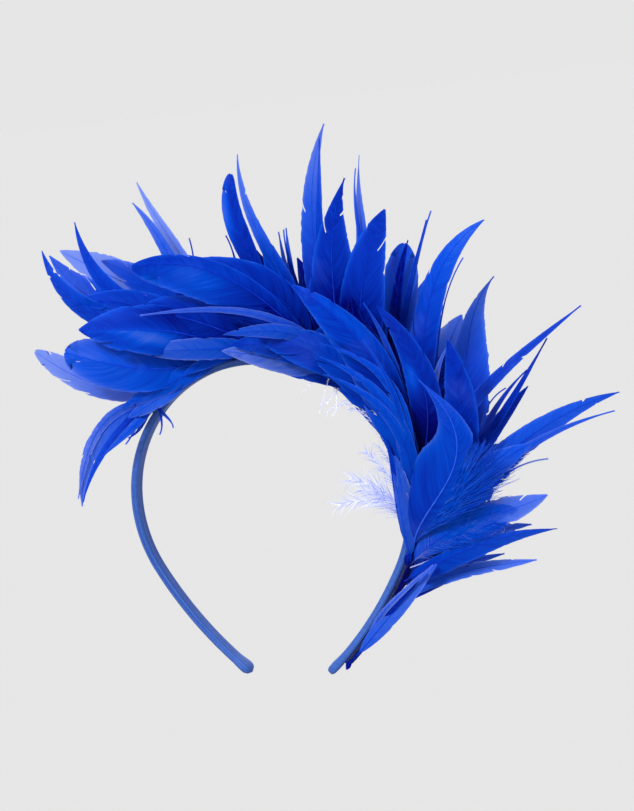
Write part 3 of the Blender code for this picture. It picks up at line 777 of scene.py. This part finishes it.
def halfWidth(feather, t, side):
    cut = cuts[feather.cut]
    peak = cut.fromRoot / (cut.fromRoot + cut.fromTip)
    highest = peak ** cut.fromRoot * (1 - peak) ** cut.fromTip
    along = max(0.0, (t - plumage["bareQuill"]) / (1 - plumage["bareQuill"]))
    full = feather.width / 2 * along ** cut.fromRoot * (1 - min(1.0, along)) ** cut.fromTip / highest
    full *= 1 + side * feather.lean
    finest = min(feather.width * 0.45, plumage["rootWidth"] * (1 - t) + plumage["tipWidth"] * t)
    return max(full, finest / 2)


def shaftFrames(feather, row, count=100):
    # points of the midrib with the directions across the vane and out of its face
    root = bandPoint(feather.seat, spineHeight, row.across)
    facing = Vector((0.0, -1.0 if row.facesViewer else 1.0, 0.0))
    frames = []
    for i in range(count + 1):
        t = i / count
        ahead, behind = midrib(feather, root, t + 1 / count), midrib(feather, root, t - 1 / count)
        tangent = (ahead - behind).normalized()
        across = tangent.cross(facing).normalized()
        face = across.cross(tangent)
        swing = math.radians(feather.turn * t)
        across, face = (across * math.cos(swing) + face * math.sin(swing),
                        face * math.cos(swing) - across * math.sin(swing))
        frames.append((midrib(feather, root, t), across, face))
    return frames


def frameAt(frames, t):
    x = min(1.0, max(0.0, t)) * (len(frames) - 1)
    i = min(int(x), len(frames) - 2)
    a, b, k = frames[i], frames[i + 1], x - i
    return a[0].lerp(b[0], k), a[1].lerp(b[1], k), a[2].lerp(b[2], k)


def frameLength(frames):
    return sum((b[0] - a[0]).length for a, b in zip(frames, frames[1:]))


def slitPlaces(feather, count, dice):
    # barbs at which the vane has come apart, each with the share of the barb that stays joined
    places = {}
    for _ in range(feather.splits):
        at = int(count * (0.12 + 0.80 * dice.random() ** 0.8))
        if all(abs(at - other) > plumage["slitApart"] for other in places):
            places[at] = dice.choice((0.5, 0.75))
    return places


def rootLook(feather):
    # painted shade at a feather's root: how much darker it is there, and how thin
    lowest, highest = plumage["uprightHeadings"]
    if lowest < feather.heading < highest and feather.seat < plumage["uprightLast"]:
        return plumage["uprightPaintedShade"], plumage["uprightThinRoot"]
    if feather.seat > plumage["armFirst"]:
        return plumage["armPaintedShade"], plumage["thinRoot"]
    return plumage["rootPaintedShade"], plumage["thinRoot"]


def addVane(soup, number, feather, frames, side, dice):
    length = frameLength(frames)
    feathered = 1 - plumage["bareQuill"]
    count = max(plumage["fewestBarbs"], round(length * feathered / plumage["barbStep"]))
    columns = plumage["columns"] // (1 if feather.width > plumage["narrow"] else 2)
    slits = slitPlaces(feather, count, dice)
    edges = sorted([-1] + list(slits) + [count])
    wavePhase, waveCount = dice.uniform(0, math.tau), dice.uniform(1.2, 2.6)
    mapStart = dice.uniform(0, plumage["mapSize"])
    rootPaintedShade, thinRoot = rootLook(feather)
    spotted = [spot for spot in spots if spot.feather == number]
    looseRims = [rim for rim in rims if rim.feather == number and rim.side == side]
    grid = []
    clump, lift, clumpTone, clumpReach = 0, 0.0, 0.0, 0.0
    for i in range(count + 1):
        if i - 1 in slits:
            clump += 1
            lift = dice.uniform(-0.25, 0.35) * mm
            clumpTone = dice.uniform(-plumage["clumpTone"], plumage["clumpTone"])
            clumpReach = plumage["clumpReach"] * noise.noise(Vector((clump * 3.7, mapStart, side)))
        first, last = edges[clump] + 1, edges[clump + 1]
        middle, half = (first + last) / 2, max(1.0, (last - first) / 2)
        place = (i - middle) / half                      # -1 to 1 across the clump
        joined = slits.get(edges[clump + 1] if place > 0 else edges[clump])
        root = plumage["bareQuill"] + feathered * i / (count + 0.6)
        broad = halfWidth(feather, min(1.0, root + 0.1), side)
        drift = min(plumage["barbSlant"] * broad / length, (1 - root) * 0.92)
        frayed = noise.noise(Vector((i * 0.31, mapStart, side))) * (0.5 + 1.5 * feather.thin)
        edge = halfWidth(feather, min(1.0, root + drift), side) * (1 + clumpReach + plumage["fray"] * frayed)
        row = []
        for j in range(columns + 1):
            q = j / columns
            t = root + drift * q ** 1.25
            reach = edge * math.sin(q * 1.35) / math.sin(1.35)
            if joined is not None and q > joined:
                # the barbs beside a slit lean away from it
                loose = (q - joined) / (1 - joined)
                spread = half * feathered / count
                atSlit = abs(place) ** 6
                t -= math.copysign(atSlit, place) * min(spread * 0.2, plumage["slitWidth"] / length) * loose
                reach *= 1 - plumage["slitGap"] * atSlit * loose
            t = min(t, 1.0)
            point, across, face = frameAt(frames, t)
            wave = plumage["wave"] * reach * math.sin(math.tau * waveCount * t + wavePhase) * q
            rise = wave - plumage["cup"] * reach + lift * max(0.0, q - 0.3)
            position = point + across * (side * reach) + face * rise
            thinness = (feather.thin * (thinRoot + (1 - thinRoot) * smoothStep(0.35, 1.0, t))
                        + plumage["edgeThin"] * q ** 4)
            # a painted light rim at the very edge of the vane
            shade = feather.tone + clumpTone * q + plumage["edgePaintedLight"] * q ** 8
            # painted shade on the vane beside its shaft
            shade -= plumage["footPaintedShade"] * (1 - smoothStep(0.0, 0.16, q))
            # painted shade towards the root, where the others cover it
            shade -= rootPaintedShade * (1 - smoothStep(0.08, 0.62, t))
            # paler and darker spots, the darker ones on the upright front feathers painted shade
            for spot in spotted:
                lengthwise = (t - spot.along) / spot.halfLength
                crosswise = (side * q - spot.across) / spot.halfWidth
                shade += spot.tone * math.exp(-lengthwise ** 2 - crosswise ** 2)
            mapPlace = (mapStart + root * length / mm, side * (q + 0.05))
            row.append(addPoint(soup, position, mapPlace, shade, min(1.0, thinness)))
        grid.append(row)
    for i in range(count):
        joined = slits.get(i)
        for j in range(columns):
            if joined is not None and j / columns >= joined:
                continue
            if any(j >= rim.column and rim.start <= i / count < rim.end for rim in looseRims):
                continue
            quad = (grid[i][j], grid[i][j + 1], grid[i + 1][j + 1], grid[i + 1][j])
            addFace(soup, quad if side > 0 else quad[::-1])
    for rim in looseRims:
        loosenRim(soup, grid, frames, rim, dice)


def loosenRim(soup, grid, frames, rim, dice):
    # the outer part of a vane as single barbs, each with its own length and bend
    points = soup["points"]
    count = len(grid) - 1
    for i in range(int(count * rim.start), int(count * rim.end)):
        t = i / count
        fade = smoothStep(rim.start, rim.start + 0.1, t) * (1 - smoothStep(rim.end - 0.25, rim.end, t))
        for strand in range(rim.strands):
            k = (strand + dice.random()) / rim.strands
            inner = dice.randint(max(1, rim.column - 2), rim.column)
            foot = points[grid[i][inner]].lerp(points[grid[i + 1][inner]], k)
            end = points[grid[i][-1]].lerp(points[grid[i + 1][-1]], k)
            face = frameAt(frames, t)[2]
            reach = (end - foot).length * (0.8 + (rim.reach - 0.8) * fade * dice.uniform(0.45, 1.0))
            foot += face * dice.uniform(0.0001, 0.0006)
            width, curl = dice.uniform(0.0003, 0.0007), dice.uniform(-14, 10)
            tone = rim.tone + dice.uniform(-0.15, 0.30)
            addHair(soup, foot, end - foot, face, reach, width, curl, tone, rim.thin, 0, dice)


def addShaft(soup, feather, frames, dice):
    length = frameLength(frames)
    start = dice.uniform(0, plumage["mapSize"])
    stout = smoothStep(0.021, 0.028, feather.width)
    # thick shafts are painted paler: a painted highlight along the raised shaft
    pale = 0.05 + 0.45 * feather.thin + 0.70 * stout * dice.uniform(0.5, 1.0)
    thick = plumage["shaftRadius"] * (0.4 + feather.width / 0.03)
    sections = []
    for i in range(plumage["shaftStations"] + 1):
        t = 0.98 * i / plumage["shaftStations"]
        point, across, face = frameAt(frames, t)
        radius = thick * (0.2 + 0.8 * (1 - t) ** 0.8)
        ring = [point + across * (math.cos(a) * radius) + face * (math.sin(a) * radius * 0.8)
                for a in circleAngles(plumage["shaftSides"])]
        sections.append((ring, start + t * length / mm, pale))
    addTube(soup, sections, 1)


def addHair(soup, start, direction, face, length, width, curl, tone, thin, slot, dice):
    # one loose barb: a narrow ribbon that bends by curl degrees along its length
    pieces = 6
    strand = dice.uniform(0, plumage["mapSize"])
    point, heading = start, direction.normalized()
    turned = Matrix.Rotation(math.radians(curl / pieces), 3, face)
    stations = []
    for i in range(pieces + 1):
        stations.append((point, heading.cross(face).normalized() * width * (0.5 - 0.4 * i / pieces)))
        point = point + heading * length / pieces
        heading = (turned @ heading + face * dice.uniform(-0.08, 0.08)).normalized()
    addRibbon(soup, stations, strand, tone, thin, slot)


def addTuft(soup, tuft, row, dice):
    # a downy feather: a thin shaft with barbs that stand apart on both sides
    feather = Feather("front", tuft.seat, tuft.heading, tuft.reach, tuft.forward, 0.0016, tuft.bowLow,
                      tuft.bowHigh, 0.002, 0, 0, "spike", 1.0, 1.0, 0)
    frames = shaftFrames(feather, row)
    length = frameLength(frames)
    count = max(4, round(length * (tuft.end - tuft.start) / tuft.step))
    for i in range(count):
        t = tuft.start + (tuft.end - tuft.start) * (i + dice.random()) / count
        point, across, face = frameAt(frames, t)
        ahead = face.cross(across)
        for side in (-1, 1):
            slant = dice.uniform(1.2, 3.4)
            raised = dice.uniform(-0.35, 0.35)
            direction = across * side + ahead * slant + face * raised
            reach = tuft.barb * dice.uniform(0.5, 1.3) * (1 - 0.45 * t)
            width, curl = dice.uniform(0.00016, 0.00034), side * dice.uniform(-55, 25)
            tone = min(1.0, tuft.tone * dice.uniform(0.6, 1.2))
            addHair(soup, point, direction, face, reach, width, curl, tone, 0.0, 2, dice)
    stations = []
    for i in range(21):
        point, across, face = frameAt(frames, 0.97 * tuft.end * i / 20)
        stations.append((point, across * 0.0003 * (1 - 0.7 * i / 20)))
    addRibbon(soup, stations, 0.0, tuft.tone, 0.0, 2)


def addSpine(soup, row):
    # the strip that a row's quills are bound in
    sections = []
    for i in range(layers["spineSteps"] + 1):
        along = i / layers["spineSteps"]
        turn = layers["spineStart"] + (layers["spineEnd"] - layers["spineStart"]) * along
        ring = []
        for k, a in enumerate(circleAngles(layers["spineSides"])):
            lump = layers["spineLump"] * noise.noise(Vector((i * 0.35, k * 0.7, row.across * 900)))
            radius = layers["spineThickness"] / 2 * (1 + lump)
            ring.append(bandPoint(turn, spineHeight + math.sin(a) * radius,
                                  row.across + math.cos(a) * radius))
        sections.append((ring, turn * 2, 0.3 + 0.5 * smoothStep(0.97, 0.99, along)))
    addTube(soup, sections)


def makePlume(rowKey, node):
    row = rows[rowKey]
    soup = newSoup()
    for number, feather in enumerate(feathers + strays + makeFillers(rowKey, random.Random(30))):
        if feather.row != rowKey:
            continue
        dice = random.Random(100 + number)
        frames = shaftFrames(feather, row)
        for side in (-1, 1):
            addVane(soup, number, feather, frames, side, dice)
        addShaft(soup, feather, frames, dice)
    if rowKey == "front":
        for number, tuft in enumerate(tufts):
            addTuft(soup, tuft, row, random.Random(500 + number))
    addSpine(soup, row)
    plume = soupObject(row.name, soup, [vane, shaft, down])
    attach(plume, "root")
    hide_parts(node)
    print("plume:", row.name, len(soup["faces"]), "faces")


def makeFeltStrip():
    start, end = layers["spineStart"] - layers["feltMargin"], layers["spineEnd"] + layers["feltMargin"]
    low = band["thickness"] / 2 - layers["bedded"]
    high = band["thickness"] / 2 + 2 * layers["gap"] + layers["feltThickness"] + layers["bedded"]
    sections = []
    for i in range(layers["feltSteps"] + 1):
        turn = start + (end - start) * i / layers["feltSteps"]
        top, under = [], []
        for j in range(layers["feltColumns"] + 1):
            s = 2 * j / layers["feltColumns"] - 1
            fray = 1 + layers["feltFray"] * noise.noise(Vector((i * 0.5, s * 2, 7.0)))
            lump = layers["feltLump"] * noise.noise(Vector((i * 0.9, s * 4, high / mm)))
            across = s * layers["feltWidth"] / 2 * fray
            top.append(bandPoint(turn, high + lump, across))
            under.append(bandPoint(turn, low, across))
        sections.append((top + under[::-1], turn, 1.0))
    soup = newSoup()
    addTube(soup, sections)
    return soupObject("feltStrip", soup, [felt])


wrapped = makeBand(satin)
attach(wrapped, "root")
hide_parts("headband")
print("band: wrapped in satin")

makePlume("back", "back_feathers")
makePlume("middle", "middle_feathers")
makePlume("front", "front_feathers")

strip = makeFeltStrip()
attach(strip, "root")
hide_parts("felt_backing")
print("felt: strip")
